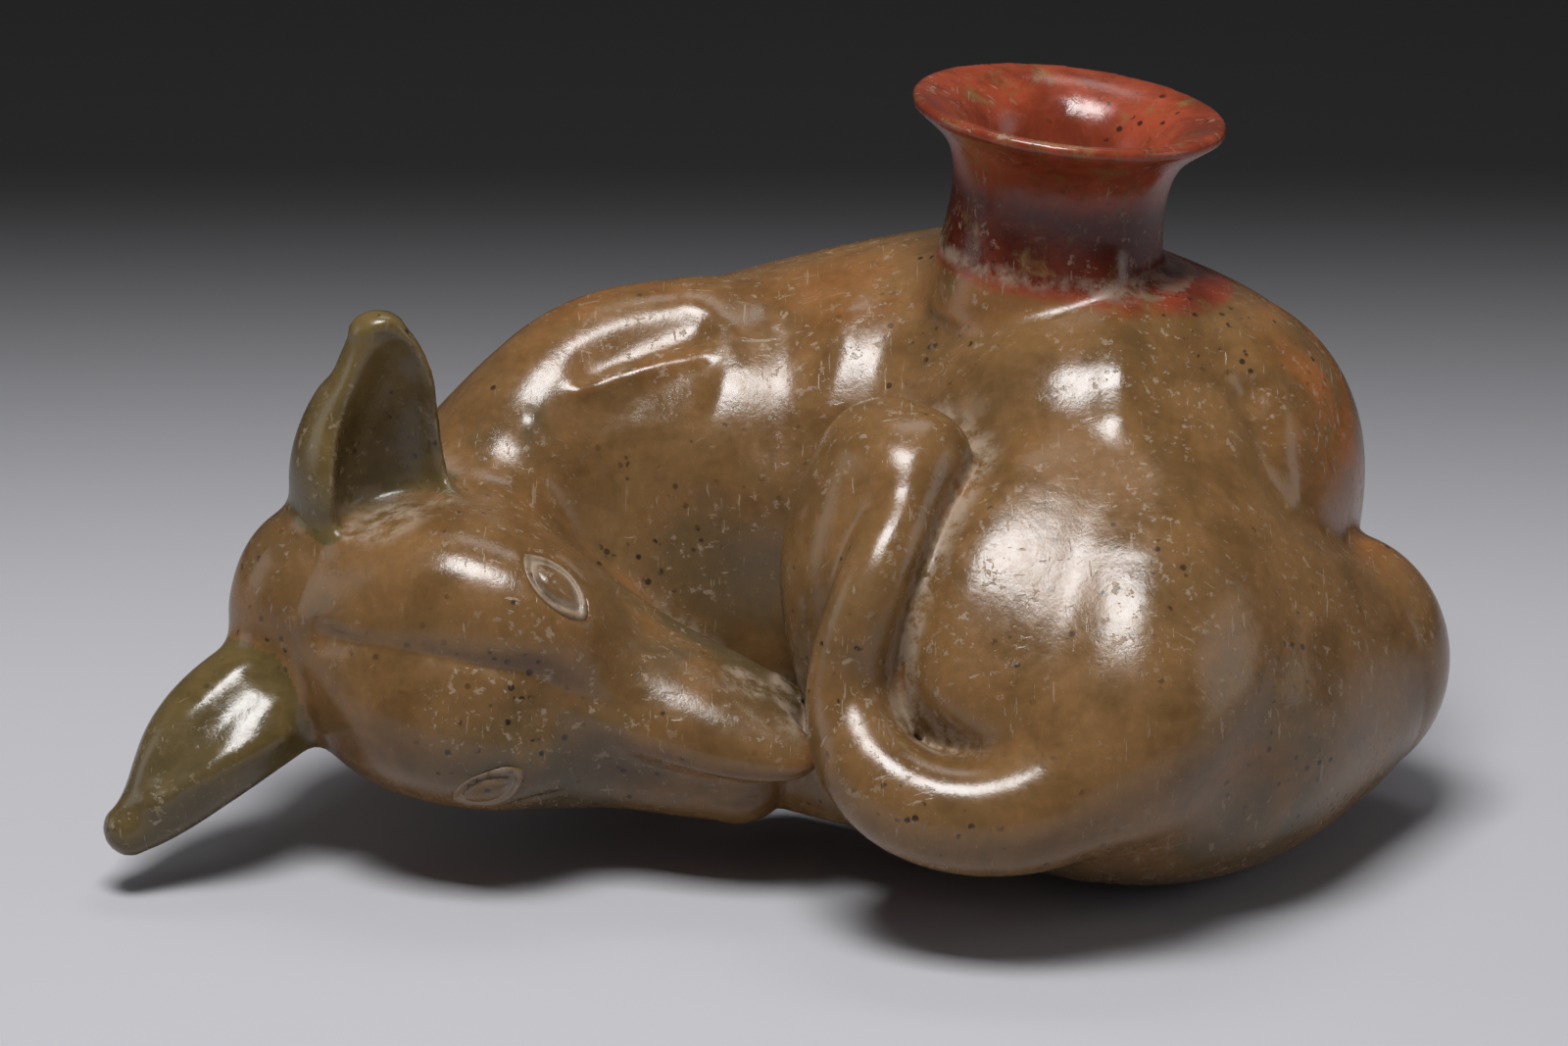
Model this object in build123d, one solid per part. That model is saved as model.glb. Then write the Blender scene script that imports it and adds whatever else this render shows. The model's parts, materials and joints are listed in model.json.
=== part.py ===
"""A hollow fired clay vessel in the shape of a dog curled up asleep, with a flared spout on its back.

Millimetres, +Z up.  The dog lies on its right side: its back curls round the rear (+Y), its head lies at
the front left, its haunch at the front right, and its tail loops up between them.  Each clay piece is
formed by itself and trimmed where it is luted to the pieces before it, so they meet face to face.
The origin is the middle of the bottom of the whole vessel's box.
"""
import os
from math import cos, radians, sin, sqrt

from build123d import *

# Sizes that place the forms on the body
body_length = 200.0  # chest to rump, along the back
body_depth = 100.0  # front to rear of the trunk
body_height = 120.0  # floor to the back below the spout
wall = 6.0  # clay thickness of every hollow form
seam_height = 50.0  # floor to the luting seam between the two halves of the trunk

# Trunk and hind quarters
trunk_half_width = 54.0
TRUNK_HEIGHT_SHARE = 0.55  # of the body's height, so the back keeps up with what sits on it
trunk_half_height = body_height * TRUNK_HEIGHT_SHARE
haunch_radius = 43.0
rump_half_width = 30.0
rump_half_height = 35.0
shin_radius = 16.0
hock_radius = 18.0
foot_radius = 14.0
tail_radius = 15.5

# Fore quarters and head
shoulder_radius = 18.0
neck_radius = 30.0
head_length = 100.0
head_half_width = 31.0
head_half_depth = 28.0
eye_half_length = 6.5
eye_half_width = 3.4
eye_bulge = 1.6
ear_half_width = 15.0
ear_half_depth = 17.5
lop_ear_half_width = 12.0
lop_ear_half_depth = 13.5

# Spout
throat_radius = 17.0
collar_wall = 6.0
collar_flare = 3.0
collar_root = 16.0
collar_height = 13.0
rim_height = 15.5
rim_radius = 34.0
lip_width = 2.6

# Where the single forms lie, as shares of the body's length, depth and height
HEAD_PLACE_SHARES = (-0.415, -0.12, 0.408)
SPOUT_PLACE_SHARES = (0.29, 0.25, 1.042)
SPOUT_LEAN_SHARES = (0.105, 0, 1)

# Stations of each limb: its place in shares of the body, then its two radii in shares of the form's own
TRUNK_SHARES = (
    ((-0.28, 0.36, 0.354), 0.70, 0.67),
    ((-0.17, 0.43, 0.375), 0.87, 0.82),
    ((0, 0.48, 0.40), 0.96, 0.92),
    ((0.19, 0.47, 0.433), 1, 1),
    ((0.34, 0.36, 0.437), 1, 1.01),
    ((0.44, 0.24, 0.404), 0.85, 0.89),
)
HAUNCH_SHARES = (
    ((0.36, -0.38, 0.317), 0.93, 0.70),
    ((0.355, -0.16, 0.517), 1, 0.79),
    ((0.34, 0.04, 0.70), 0.86, 0.74),
)
RUMP_SHARES = (
    ((0.33, -0.32, 0.317), 1, 0.86),
    ((0.48, -0.19, 0.283), 1, 0.95),
    ((0.595, 0.01, 0.308), 0.83, 0.80),
)
SHIN_SHARES = (
    ((0.25, -0.30, 0.633), 0.75, 0.75),
    ((0.21, -0.42, 0.533), 0.88, 0.88),
    ((0.19, -0.50, 0.417), 0.94, 0.94),
)
HOCK_SHARES = (
    ((0.10, -0.25, 0.392), 1, 1.33),
    ((0.085, -0.25, 0.575), 1, 1.39),
    ((0.11, -0.22, 0.725), 0.89, 1.11),
)
FOOT_SHARES = (
    ((0.17, -0.42, 0.225), 1, 1),
    ((0.07, -0.30, 0.208), 0.93, 0.93),
    ((-0.02, -0.16, 0.192), 0.86, 0.86),
)
TAIL_SHARES = (
    ((0.355, -0.46, 0.558), 0.77, 0.77),
    ((0.34, -0.60, 0.45), 0.94, 0.94),
    ((0.32, -0.67, 0.358), 1, 1),
    ((0.28, -0.72, 0.30), 0.94, 0.94),
    ((0.225, -0.75, 0.271), 0.82, 0.82),
    ((0.145, -0.73, 0.275), 0.74, 0.74),
    ((0.09, -0.67, 0.325), 0.68, 0.68),
    ((0.068, -0.58, 0.417), 0.59, 0.59),
    ((0.083, -0.55, 0.575), 0.49, 0.49),
    ((0.13, -0.43, 0.717), 0.39, 0.39),
    ((0.165, -0.34, 0.813), 0.26, 0.26),
)
SHOULDER_SHARES = (
    ((-0.11, 0.40, 0.833), 0.61, 0.61),
    ((-0.19, 0.38, 0.80), 0.83, 0.83),
    ((-0.26, 0.30, 0.70), 1, 1),
    ((-0.30, 0.18, 0.558), 1, 1),
)
NECK_SHARES = (
    ((-0.28, 0.34, 0.408), 1, 1),
    ((-0.37, 0.18, 0.392), 0.90, 0.90),
    ((-0.41, 0.02, 0.392), 0.87, 0.87),
)

# The head's own axes, as directions, and its stations in shares of the head's length along them:
# towards the nose, towards the dog's left and towards its forehead
HEAD_FORWARD_SHARES = (0.936, -0.225, -0.270)
HEAD_LEFT_SHARES = (0.278, 0.006, 0.961)
HEAD_SHARES = (
    ((-0.14, 0, -0.02), 0.79, 0.71),
    ((0, 0, 0), 1, 0.97),
    ((0.25, 0, 0.01), 1, 1),
    ((0.42, 0, -0.01), 0.86, 0.84),
    ((0.58, 0, -0.03), 0.68, 0.68),
    ((0.72, 0, -0.04), 0.61, 0.60),
    ((0.78, 0, -0.04), 0.55, 0.55),
)
EYE_STATION_SHARE = 0.34
EYE_SEAT_SHARE = 0.93
FOREHEAD_TURN = 14.0  # degrees, the forehead's middle line turned to the left
EYE_TURN = 43.0  # degrees, each eye to the side of that line
EAR_UP_SHARES = (0.35, 0.16, -0.92)
EAR_SHARES = (
    ((-0.086, 0.165, -0.02), 0.97, 1),
    ((-0.143, 0.313, 0.014), 1, 1),
    ((-0.149, 0.425, 0.016), 0.89, 0.83),
    ((-0.14, 0.49, 0.025), 0.73, 0.70),
    ((-0.151, 0.544, 0.033), 0.65, 0.60),
    ((-0.171, 0.594, 0.043), 0.51, 0.47),
    ((-0.191, 0.63, 0.053), 0.39, 0.37),
)
EAR_HOLLOW_SHARES = (
    ((-0.074, 0.37, 0.095), 0.70, 0.66),
    ((-0.086, 0.437, 0.096), 0.74, 0.80),
    ((-0.096, 0.496, 0.11), 0.59, 0.73),
    ((-0.115, 0.548, 0.117), 0.47, 0.63),
    ((-0.145, 0.596, 0.119), 0.33, 0.53),
    ((-0.17, 0.626, 0.115), 0.23, 0.40),
)
LOP_EAR_UP_SHARES = (-0.34, 0.36, 0.85)
LOP_EAR_SHARES = (
    ((-0.13, -0.10, 0.05), 0.96, 0.96),
    ((-0.20, -0.20, 0.127), 1, 1),
    ((-0.255, -0.274, 0.211), 1, 0.95),
    ((-0.286, -0.339, 0.269), 0.90, 0.86),
    ((-0.315, -0.418, 0.322), 0.66, 0.69),
    ((-0.34, -0.467, 0.358), 0.48, 0.55),
    ((-0.356, -0.489, 0.377), 0.41, 0.46),
)

# Rounded ends: how far each closing ellipse stands out, as a share of the end's bulge
CLOSING_SHARES = (0.45, 0.75, 0.93)
TRUNK_END_SHARE = 0.75

UPWARDS = Vector(0, 0, 1)
REARWARDS = Vector(0, 1, 0)


def body_point(shares):
    """A point given as shares of the body's length, depth and height."""
    return Vector(shares[0] * body_length, shares[1] * body_depth, shares[2] * body_height)


def on_body(table, side_radius, up_radius):
    """A limb's stations from its table: centre, side radius and up radius."""
    return [(body_point(spot), side * side_radius, up * up_radius) for spot, side, up in table]


HEAD_PLACE = body_point(HEAD_PLACE_SHARES)
NOSEWARDS = Vector(*HEAD_FORWARD_SHARES).normalized()
LEFTWARDS = (Vector(*HEAD_LEFT_SHARES) - NOSEWARDS * NOSEWARDS.dot(Vector(*HEAD_LEFT_SHARES))).normalized()
CROWNWARDS = NOSEWARDS.cross(LEFTWARDS)


def head_direction(shares):
    """A direction given along the head's own three axes."""
    return NOSEWARDS * shares[0] + LEFTWARDS * shares[1] + CROWNWARDS * shares[2]


def on_head(table, side_radius, up_radius):
    """Stations of a limb that is placed on the head."""
    return [
        (HEAD_PLACE + head_direction(spot) * head_length, side * side_radius, up * up_radius)
        for spot, side, up in table
    ]


def ellipse_face(centre, forward, up, side_radius, up_radius):
    """An elliptical slice square to forward, with its second radius towards up."""
    side = forward.cross(up).normalized()
    return Plane(origin=centre, x_dir=side, z_dir=forward) * Ellipse(side_radius, up_radius)


def rounded_end(end_face, station, outward, forward, up, inset, bulge_share):
    """A dome that closes a limb's end: ever smaller ellipses from the end face out to a tip."""
    centre, side_radius, up_radius = station
    bulge = min(side_radius, up_radius) * bulge_share - inset
    slices = [end_face]
    for share in CLOSING_SHARES:
        narrowing = sqrt(1 - share * share)
        radii = ((side_radius - inset) * narrowing, (up_radius - inset) * narrowing)
        slices.append(ellipse_face(centre + outward * (bulge * share), forward, up, *radii))
    return loft(slices + [Vertex(*tuple(centre + outward * bulge))])


def limb(stations, up, inset=0, round_start=False, round_end=False, bulge_share=1):
    """A tapering roll of clay: ellipses square to a curved path, drawn in by inset."""
    centres = [station[0] for station in stations]
    last = len(stations) - 1
    forwards = [
        (centres[min(index + 1, last)] - centres[max(index - 1, 0)]).normalized() for index in range(last + 1)
    ]
    slices = [
        ellipse_face(centre, forward, up, side_radius - inset, up_radius - inset)
        for (centre, side_radius, up_radius), forward in zip(stations, forwards)
    ]
    roll = loft(slices)
    if round_start:
        roll += rounded_end(slices[0], stations[0], -forwards[0], forwards[0], up, inset, bulge_share)
    if round_end:
        roll += rounded_end(slices[last], stations[last], forwards[last], forwards[last], up, inset, bulge_share)
    return roll


def trunk_form(inset=0):
    """The curled trunk, a fat roll bent round the rear."""
    stations = on_body(TRUNK_SHARES, trunk_half_width, trunk_half_height)
    return limb(stations, UPWARDS, inset, round_start=True, round_end=True, bulge_share=TRUNK_END_SHARE)


def haunch_form(inset=0):
    """The big round thigh, rising from beside the belly to the hip at the foot of the spout."""
    stations = on_body(HAUNCH_SHARES, haunch_radius, haunch_radius)
    return limb(stations, UPWARDS, inset, round_start=True, round_end=True)


def rump_form(inset=0):
    """The roll that carries the haunch round to the rear."""
    return limb(on_body(RUMP_SHARES, rump_half_width, rump_half_height), UPWARDS, inset, round_end=True)


def hock_form(inset=0):
    """The folded joint of the hind leg, between the haunch and the flank."""
    stations = on_body(HOCK_SHARES, hock_radius, hock_radius)
    return limb(stations, REARWARDS, inset, round_start=True, round_end=True)


def neck_form(inset=0):
    """The short neck behind the skull."""
    return limb(on_body(NECK_SHARES, neck_radius, neck_radius), UPWARDS, inset)


def head_form(inset=0):
    """The skull and muzzle in one, lying on its right cheek."""
    stations = on_head(HEAD_SHARES, head_half_depth, head_half_width)
    return limb(stations, LEFTWARDS, inset, round_start=True, round_end=True)


def cupped_ear():
    """The standing ear: a tapering leaf of clay with a hollow pressed into its inner side."""
    up = head_direction(EAR_UP_SHARES)
    leaf = limb(on_head(EAR_SHARES, ear_half_depth, ear_half_width), up, round_end=True)
    hollow_stations = on_head(EAR_HOLLOW_SHARES, ear_half_depth, ear_half_width)
    return leaf - limb(hollow_stations, up, round_start=True, round_end=True)


def eye(side):
    """An almond of clay on the brow: side is 1 for the dog's left eye and -1 for its right."""
    turn = radians(FOREHEAD_TURN + side * EYE_TURN)
    depth_radius = head_half_depth * EYE_SEAT_SHARE
    width_radius = head_half_width * EYE_SEAT_SHARE
    reach = 1 / sqrt((cos(turn) / depth_radius) ** 2 + (sin(turn) / width_radius) ** 2)
    seat = HEAD_PLACE + NOSEWARDS * (EYE_STATION_SHARE * head_length)
    seat += (CROWNWARDS * cos(turn) + LEFTWARDS * sin(turn)) * reach
    outward = CROWNWARDS * (cos(turn) / depth_radius ** 2) + LEFTWARDS * (sin(turn) / width_radius ** 2)
    almond = scale(Sphere(1), by=(eye_half_length, eye_half_width, eye_bulge))
    return Plane(origin=seat, x_dir=NOSEWARDS, z_dir=outward.normalized()) * almond


def spout_plane():
    """The seat of the spout on the back, leaning a little towards the rump."""
    return Plane(origin=body_point(SPOUT_PLACE_SHARES), z_dir=Vector(*SPOUT_LEAN_SHARES))


def turned(profile):
    """A ring turned round the spout's axis from edges that close in the XZ plane."""
    section = make_face(profile)
    return spout_plane() * revolve(Plane.XZ * section, Axis.Z)


def throat(length_below, length_above):
    """The straight bore of the spout."""
    bore = Cylinder(throat_radius, length_below + length_above, align=(Align.CENTER, Align.CENTER, Align.MIN))
    return spout_plane() * Pos(0, 0, -length_below) * bore


def collar_form():
    """The spout's neck: a straight bore in a collar that flares at its foot."""
    outer_radius = throat_radius + collar_wall
    foot_radius_out = outer_radius + collar_flare
    inner = Line((throat_radius, -collar_root), (throat_radius, collar_height))
    top = Line((throat_radius, collar_height), (outer_radius, collar_height))
    outer = Spline((outer_radius, collar_height), (foot_radius_out, -collar_root), tangents=((0, -1), (1, -1)))
    foot = Line((foot_radius_out, -collar_root), (throat_radius, -collar_root))
    return turned([inner, top, outer, foot])


def rim_form():
    """The flared mouth on the collar, with a rounded lip."""
    outer_radius = throat_radius + collar_wall
    mouth_height = collar_height + rim_height
    lip_half = lip_width / 2
    under_lip = (rim_radius - lip_half, mouth_height - lip_width)
    over_lip = (rim_radius - lip_width, mouth_height)
    lip_edge = (rim_radius, mouth_height - lip_half)
    inner = Spline((throat_radius, collar_height), over_lip, tangents=((0, 1), (1, 0.2)))
    lip = ThreePointArc(over_lip, lip_edge, under_lip)
    outer = Spline(under_lip, (outer_radius, collar_height), tangents=((-1, -0.5), (0, -1)))
    foot = Line((outer_radius, collar_height), (throat_radius, collar_height))
    return turned([inner, lip, outer, foot])


def slab(low, high):
    """A block wider than the vessel, between two heights."""
    size = body_length * 4
    block = Box(size, size, high - low, align=(Align.CENTER, Align.CENTER, Align.MIN))
    return Pos(0, 0, low) * block


def build_pieces():
    """Every piece, each trimmed by the pieces it is luted to and by the hollows it opens into."""
    below_floor = slab(-body_height, 0)
    below_base = slab(-body_height, wall)
    hollow_forms = (trunk_form, haunch_form, rump_form, hock_form, neck_form, head_form)
    hollows = [form(wall) - below_base for form in hollow_forms]
    throat_bore = throat(collar_root + wall, collar_height)
    trunk, haunch, rump = (form() - below_floor for form in (trunk_form, haunch_form, rump_form))
    hock, neck, head = hock_form(), neck_form(), head_form()
    eyes = {"left_eye": eye(1), "right_eye": eye(-1)}

    trunk_shell = trunk - hollows - [throat_bore]
    above_seam = slab(seam_height, body_height * 2)
    below_seam = slab(-body_height, seam_height)
    pieces = {"trunk_lower_half": trunk_shell - above_seam, "trunk_upper_half": trunk_shell - below_seam}
    pieces["haunch"] = haunch - [trunk, throat_bore] - hollows
    pieces["rump"] = rump - [trunk, haunch] - hollows
    pieces["head"] = head - [trunk] - hollows
    pieces["neck"] = neck - [trunk, head] - hollows
    shoulder = limb(
        on_body(SHOULDER_SHARES, shoulder_radius, shoulder_radius), UPWARDS, round_start=True, round_end=True
    )
    pieces["shoulder_blade"] = shoulder - [trunk, neck, head]
    shin = limb(on_body(SHIN_SHARES, shin_radius, shin_radius), REARWARDS, round_start=True, round_end=True)
    pieces["shin"] = shin - [trunk, haunch] - hollows
    pieces["hock"] = hock - [trunk, haunch, shin, head] - hollows
    foot = limb(on_body(FOOT_SHARES, foot_radius, foot_radius), UPWARDS, round_start=True, round_end=True)
    pieces["hind_foot"] = foot - [trunk, haunch, shin, hock, head]
    tail = limb(on_body(TAIL_SHARES, tail_radius, tail_radius), REARWARDS, round_end=True)
    pieces["tail"] = tail - [trunk, haunch, rump, shin, hock, foot]
    pieces["left_ear"] = cupped_ear() - [head, neck, shoulder]
    lop_stations = on_head(LOP_EAR_SHARES, lop_ear_half_depth, lop_ear_half_width)
    right_ear = limb(lop_stations, head_direction(LOP_EAR_UP_SHARES), round_end=True)
    pieces["right_ear"] = right_ear - [head, neck]
    for name, almond in eyes.items():
        pieces[name] = almond - [head]
    pieces["spout_collar"] = collar_form() - [trunk, haunch]
    pieces["spout_rim"] = rim_form()
    return pieces


def main():
    """Build the pieces, move the origin to the middle of the base, and write one STEP file each."""
    pieces = build_pieces()
    box = Compound(children=[Compound(piece.solids()) for piece in pieces.values()]).bounding_box()
    home = Pos(-box.center().X, -box.center().Y, -box.min.Z)
    os.makedirs("parts", exist_ok=True)
    for name, piece in pieces.items():
        export_step(home * piece, f"parts/{name}.step")
    print("moved by", (-box.center().X, -box.center().Y, -box.min.Z), "size", box.size)


if __name__ == "__main__":
    main()
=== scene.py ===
"""A burnished clay vessel shaped as a curled, sleeping dog with a slipped spout, round its CAD frame."""
import json
import math

import bpy
import numpy as np
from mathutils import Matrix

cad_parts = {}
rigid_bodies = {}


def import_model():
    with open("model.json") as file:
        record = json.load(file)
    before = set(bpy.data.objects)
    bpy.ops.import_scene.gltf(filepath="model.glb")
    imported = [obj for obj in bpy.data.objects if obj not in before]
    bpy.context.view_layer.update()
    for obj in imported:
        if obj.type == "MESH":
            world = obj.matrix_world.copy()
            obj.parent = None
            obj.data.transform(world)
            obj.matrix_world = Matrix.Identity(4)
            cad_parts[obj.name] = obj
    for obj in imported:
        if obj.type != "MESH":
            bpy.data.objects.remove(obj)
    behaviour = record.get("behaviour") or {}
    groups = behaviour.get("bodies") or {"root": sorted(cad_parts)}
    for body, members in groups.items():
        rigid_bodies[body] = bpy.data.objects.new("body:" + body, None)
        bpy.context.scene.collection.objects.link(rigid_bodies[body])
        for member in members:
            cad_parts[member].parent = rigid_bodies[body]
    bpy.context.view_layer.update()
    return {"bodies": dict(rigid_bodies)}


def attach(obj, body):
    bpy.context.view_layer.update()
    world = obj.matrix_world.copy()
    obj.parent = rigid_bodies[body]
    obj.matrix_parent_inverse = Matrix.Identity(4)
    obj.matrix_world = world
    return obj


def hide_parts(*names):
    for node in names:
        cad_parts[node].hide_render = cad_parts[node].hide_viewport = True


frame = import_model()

import openvdb
from bpy.props import FloatProperty, FloatVectorProperty, PointerProperty
from mathutils import Vector

bl_info = {
    "name": "Curled Dog Vessel",
    "version": (1, 0, 0),
    "blender": (4, 5, 0),
    "location": "3D View > Sidebar > Vessel",
    "description": "Burnished dog effigy vessel with a flared spout, in its CAD frame",
    "category": "Object",
}

MM = 0.001
HOME = np.array((-0.179, -7.096, 0.0))  # mm, from the axes of the forms to the frame
BODY = next(iter(frame["bodies"]))


# Forms, as distances in millimetres

def unit(v):
    """The vector v made one long."""
    v = np.asarray(v, float)
    return v / np.linalg.norm(v)


def smooth_min(a, b, k):
    """The lesser of two distances, blended over about k."""
    h = np.clip(0.5 + 0.5 * (b - a) / k, 0, 1)
    return b + (a - b) * h - k * h * (1 - h)


def smooth_max(a, b, k):
    """The greater of two distances, blended over about k."""
    return -smooth_min(-a, -b, k)


def ramp(x, a, b):
    """0 at a, 1 at b, eased between."""
    t = np.clip((x - a) / (b - a), 0, 1)
    return t * t * (3 - 2 * t)


class Lump:
    """An ellipsoid of clay."""

    def __init__(self, centre, radii, x=(1, 0, 0), z=(0, 0, 1)):
        self.centre = np.array(centre, float)
        self.radii = np.array(radii, float)
        x = unit(x)
        z = np.asarray(z, float)
        z = unit(z - x * (z @ x))
        self.axes = np.stack([x, np.cross(z, x), z], 1)

    def ball(self):
        return self.centre, self.radii.max()

    def near(self, P):
        q = (P - self.centre) @ self.axes
        a = np.linalg.norm(q / self.radii, axis=1)
        b = np.linalg.norm(q / self.radii ** 2, axis=1)
        return a * (a - 1) / np.maximum(b, 1e-9)


class Spline:
    """A natural cubic through rows, by the length between their first three numbers."""

    def __init__(self, rows):
        Y = np.asarray(rows, float)
        n = len(Y)
        u = np.concatenate([[0], np.cumsum(np.linalg.norm(np.diff(Y[:, :3], axis=0), axis=1))])
        h = np.diff(u)
        A = np.zeros((n, n))
        R = np.zeros_like(Y)
        A[0, 0] = A[-1, -1] = 1
        for i in range(1, n - 1):
            A[i, i - 1], A[i, i], A[i, i + 1] = h[i - 1], 2 * (h[i - 1] + h[i]), h[i]
            R[i] = 6 * ((Y[i + 1] - Y[i]) / h[i] - (Y[i] - Y[i - 1]) / h[i - 1])
        self.u, self.h, self.Y, self.M = u, h, Y, np.linalg.solve(A, R)

    def at(self, t, order=0):
        """The row at length t, and its derivatives up to order."""
        i = np.clip(np.searchsorted(self.u, t, side="right") - 1, 0, len(self.h) - 1)
        h = self.h[i][:, None]
        a = (self.u[i + 1] - t)[:, None] / h
        b = 1 - a
        Y, M = self.Y, self.M
        out = [a * Y[i] + b * Y[i + 1] + ((a ** 3 - a) * M[i] + (b ** 3 - b) * M[i + 1]) * h * h / 6]
        if order > 0:
            out.append((Y[i + 1] - Y[i]) / h + (-(3 * a * a - 1) * M[i] + (3 * b * b - 1) * M[i + 1]) * h / 6)
        if order > 1:
            out.append(a * M[i] + b * M[i + 1])
        return out


class Limb:
    """A tapering roll through stations (x, y, z, side radius, up radius)."""

    def __init__(self, stations, up=(0, 0, 1), cap=1.0, power=2.0, cap_end=None):
        rows = np.array([list(s) + ([s[3]] if len(s) == 4 else []) for s in stations], float)
        self.curve = Spline(rows)
        self.up = np.array(up, float)
        self.cap, self.cap_end = cap, cap if cap_end is None else cap_end
        self.power = power
        self.guess = np.linspace(0, self.curve.u[-1], 3 * len(rows))
        self.samples = self.curve.at(self.guess)[0]

    def ball(self):
        spots = self.samples[:, :3]
        centre = (spots.min(0) + spots.max(0)) / 2
        return centre, np.linalg.norm(spots - centre, axis=1).max() + self.samples[:, 3:].max()

    def near(self, P):
        best = np.full(len(P), 1e18)
        t = np.zeros(len(P))
        for spot, at in zip(self.samples[:, :3], self.guess):
            d = ((P - spot) ** 2).sum(1)
            closer = d < best
            best[closer] = d[closer]
            t[closer] = at
        for _ in range(3):
            c, c1, c2 = self.curve.at(t, 2)
            q = c[:, :3] - P
            speed = (c1[:, :3] ** 2).sum(1)
            slope = np.maximum(speed + (q * c2[:, :3]).sum(1), 0.3 * speed)
            t = np.clip(t - (q * c1[:, :3]).sum(1) / slope, 0, self.curve.u[-1])
        c, c1 = self.curve.at(t, 1)
        f = c1[:, :3] / np.linalg.norm(c1[:, :3], axis=1)[:, None]
        u = self.up - f * (f @ self.up)[:, None]
        u /= np.maximum(np.linalg.norm(u, axis=1), 1e-6)[:, None]
        q = P - c[:, :3]
        a, b, k = np.abs((q * np.cross(f, u)).sum(1)), np.abs((q * u).sum(1)), (q * f).sum(1)
        ra, rb = c[:, 3], c[:, 4]
        rc = np.minimum(ra, rb) * np.where(k < 0, self.cap, self.cap_end)
        p = self.power
        A, B, K = a / ra, b / rb, np.abs(k) / rc
        n = np.maximum((A ** p + B ** p + K ** p + 1e-12) ** (1 / p), 1e-6)
        slope = np.sqrt((A ** (p - 1) / ra) ** 2 + (B ** (p - 1) / rb) ** 2 + (K ** (p - 1) / rc) ** 2)
        return (n - 1) / np.maximum(slope * n ** (1 - p), 1e-4)


class Turned:
    """A wall turned round an axis, through rows (radius, height, half thickness)."""

    def __init__(self, base, axis, rows):
        self.base, self.axis = np.array(base, float), unit(axis)
        curve = Spline([[r, z, 0, t] for r, z, t in rows])
        self.rows = curve.at(np.linspace(0, curve.u[-1], 40))[0][:, [0, 1, 3]]

    def ball(self):
        return self.base + self.axis * self.rows[:, 1].mean(), self.rows[:, 0].max() + 20

    def near(self, P):
        q = P - self.base
        z = q @ self.axis
        X = np.stack([np.linalg.norm(q - z[:, None] * self.axis, axis=1), z], 1)
        d = np.full(len(P), 1e9)
        for A, B in zip(self.rows[:-1], self.rows[1:]):
            run = B[:2] - A[:2]
            t = np.clip(((X - A[:2]) @ run) / (run @ run), 0, 1)
            half = A[2] * (1 - t) + B[2] * t
            d = np.minimum(d, np.linalg.norm(X - A[:2] - t[:, None] * run, axis=1) - half)
        return d


class Scoop:
    """A form with a hollow pressed in it."""

    def __init__(self, form, press, k):
        self.form, self.press, self.k = form, press, k

    def ball(self):
        return self.form.ball()

    def near(self, P):
        return smooth_max(self.form.near(P), -self.press.near(P), self.k)


FAR = 22.0  # from a form, beyond which its ball is near enough


def distance(form, P):
    """Distance from P to a form: exact near it, that of its ball far off."""
    centre, radius = form.ball()
    out = np.linalg.norm(P - centre, axis=1) - radius
    close = out < FAR
    if close.any():
        out[close] = form.near(P[close])
    return out


# The dog, in millimetres

HEAD_PLACE = np.array((-83.0, -12.0, 49.0))
NOSE = unit((0.936, -0.225, -0.270))
LEFT = np.array((0.278, 0.006, 0.961))
LEFT = unit(LEFT - NOSE * (NOSE @ LEFT))
CROWN = np.cross(NOSE, LEFT)


def on_head(f, l, d):
    """A point from its millimetres towards nose, left and crown."""
    return tuple(HEAD_PLACE + NOSE * f + LEFT * l + CROWN * d)


SPOUT_BASE = np.array((58.0, 25.0, 125.0))
SPOUT_AXIS = unit((0.105, 0, 1))
THROAT_RADIUS = 17.0
THROAT_MIDDLE = -4.0
THROAT_HALF_LENGTH = 20.0
COLLAR_HEIGHT = 13.0
WALL = 6.0
SEAM = 50.0
TRUNK = [
    (-56, 36, 42.5, 38, 44.5), (-34, 43, 45, 47, 54), (0, 48, 48, 52, 61),
    (38, 47, 52, 54, 66), (68, 36, 52.5, 54, 66.5), (88, 24, 48.5, 46, 58.5),
]
HAUNCH = [(72, -38, 38, 40, 30), (71, -16, 62, 43, 34), (68, 4, 84, 37, 32)]
SHIN = [(48, -30, 77, 12), (40, -43, 65, 13.5), (38, -50, 51, 14.5)]
HOCK = [(20, -25, 47, 18, 24), (17, -25, 69, 18, 25), (22, -22, 87, 16, 20)]
FOOT = [(34, -42, 27, 14), (14, -30, 25, 13), (-4, -16, 23, 12)]
TAIL = [
    (71, -46, 67, 12), (68, -60, 54, 14.5), (64, -67, 43, 15.5), (56, -72, 36, 14.5), (45, -75, 32.5, 12.7),
    (29, -73, 33, 11.5), (18, -67, 39, 10.6), (13.5, -58, 50, 9.2), (16.5, -55, 69, 7.8),
    (25, -42.5, 85.5, 6.6), (31.5, -30, 95, 4.6),
]
SHOULDER = [(-22, 40, 98, 10), (-38, 38, 94, 13.5), (-52, 30, 83, 17), (-60, 18, 67, 18)]
RUMP = [(66, -32, 38, 30, 30), (96, -19, 34, 30, 33), (119, 1, 37, 25, 28)]
NECK = [(-56, 34, 49, 30), (-74, 18, 47, 27), (-82, 2, 47, 26)]
SPOUT = [
    (23, -16, 3), (21.3, -6, 3.2), (20.1, 4, 3.1), (20.4, 13, 2.9), (23.6, 21, 2.6), (29, 25.6, 2.2),
    (32.2, 27.3, 1.6),
]
HEAD_HALF_DEPTH = 28.0
HEAD_HALF_WIDTH = 31.0
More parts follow.
